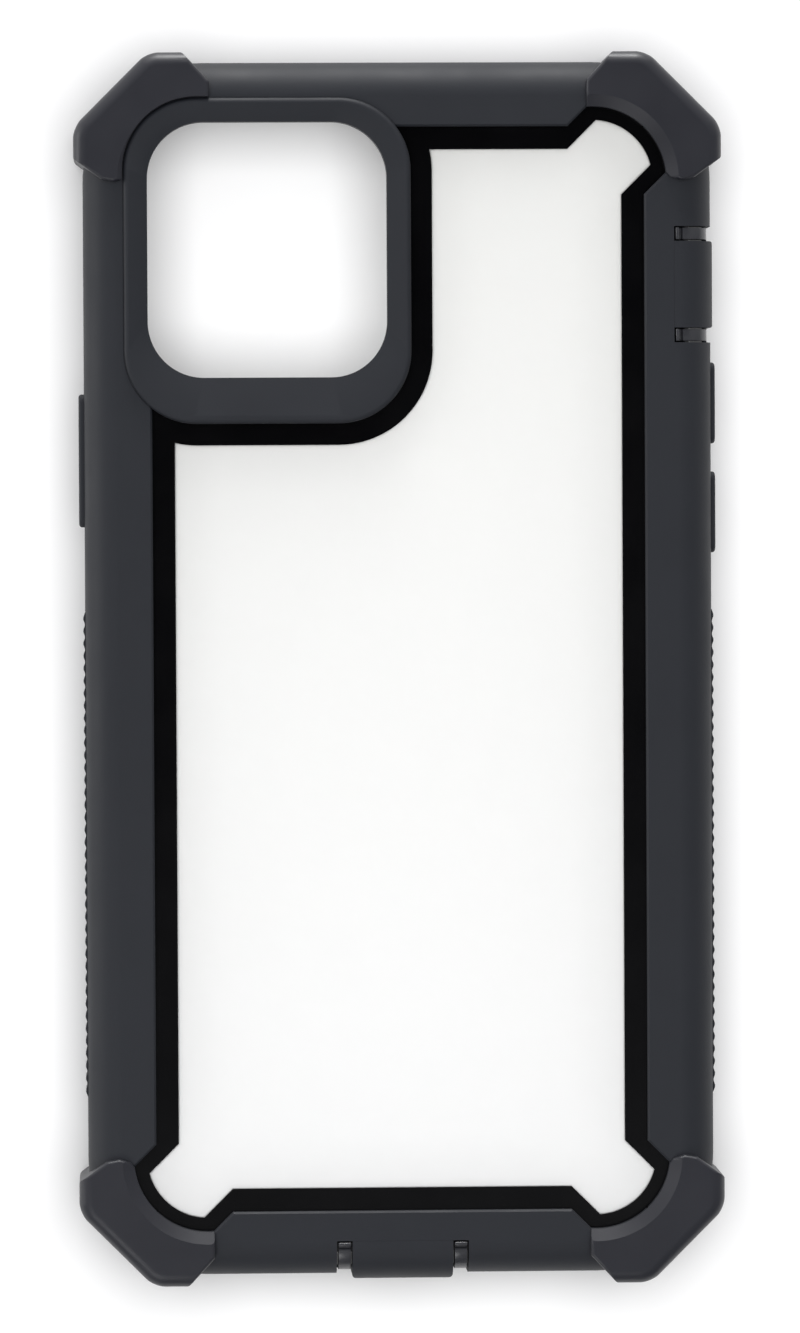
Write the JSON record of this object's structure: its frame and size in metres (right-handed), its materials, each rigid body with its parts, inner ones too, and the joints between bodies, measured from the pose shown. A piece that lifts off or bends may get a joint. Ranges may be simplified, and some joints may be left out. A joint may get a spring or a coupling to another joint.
{
  "type": "phone case",
  "caption": "Two-layer protective phone case with raised corner guards, a camera ring, a clear back window, side buttons and hinged flaps over the switch and charging port.",
  "frame": {"origin": "under the middle of the case, on the surface that the fronts of its corner guards stand on", "axes": "+Z out of the back of the case, +Y to the phone's top, +X to the right when the back is seen with the top up"},
  "size_m": [0.083, 0.1582, 0.0142],
  "materials": {
    "skin_rubber": "fine matte moulded texture",
    "guard_rubber": "matte, a little smoother than the skin",
    "shell_gloss": "polished black",
    "frame_satin": "satin black",
    "clear_panel": "clear and polished",
    "adhesive": "dark adhesive tape"
  },
  "bodies": {
    "case": {"outer_skin": "skin_rubber", "inner_shell": "shell_gloss", "front_frame": "frame_satin", "clear_back_panel": "clear_panel", "panel_adhesive": "adhesive", "camera_ring": "skin_rubber", "corner_guard_top_left": "guard_rubber", "corner_guard_top_right": "guard_rubber", "corner_guard_bottom_left": "guard_rubber", "corner_guard_bottom_right": "guard_rubber", "left_grip_strip": "guard_rubber", "right_grip_strip": "guard_rubber"},
    "power_button": {"power_button": "skin_rubber"},
    "volume_up_button": {"volume_up_button": "skin_rubber"},
    "volume_down_button": {"volume_down_button": "skin_rubber"},
    "mute_switch_flap": {"mute_switch_flap": "skin_rubber"},
    "charge_port_flap": {"charge_port_flap": "skin_rubber"}
  },
  "joints": [
    {"name": "power_press", "type": "slide", "parent": "case", "child": "power_button", "axis": [1, 0, 0], "range_m": [0, 0.0005], "stiffness_N_per_m": 2000},
    {"name": "volume_up_press", "type": "slide", "parent": "case", "child": "volume_up_button", "axis": [-1, 0, 0], "range_m": [0, 0.0005], "stiffness_N_per_m": 2000},
    {"name": "volume_down_press", "type": "slide", "parent": "case", "child": "volume_down_button", "axis": [-1, 0, 0], "range_m": [0, 0.0005], "stiffness_N_per_m": 2000},
    {"name": "switch_flap_hinge", "type": "hinge", "parent": "case", "child": "mute_switch_flap", "pos_m": [0.0354, 0.04925, 0.013], "axis": [0, -1, 0], "range_deg": [0, 110], "stiffness_Nm_per_rad": 0.0005},
    {"name": "port_flap_hinge", "type": "hinge", "parent": "case", "child": "charge_port_flap", "pos_m": [0, -0.0734, 0.013], "axis": [-1, 0, 0], "range_deg": [0, 110], "stiffness_Nm_per_rad": 0.0005}
  ]
}
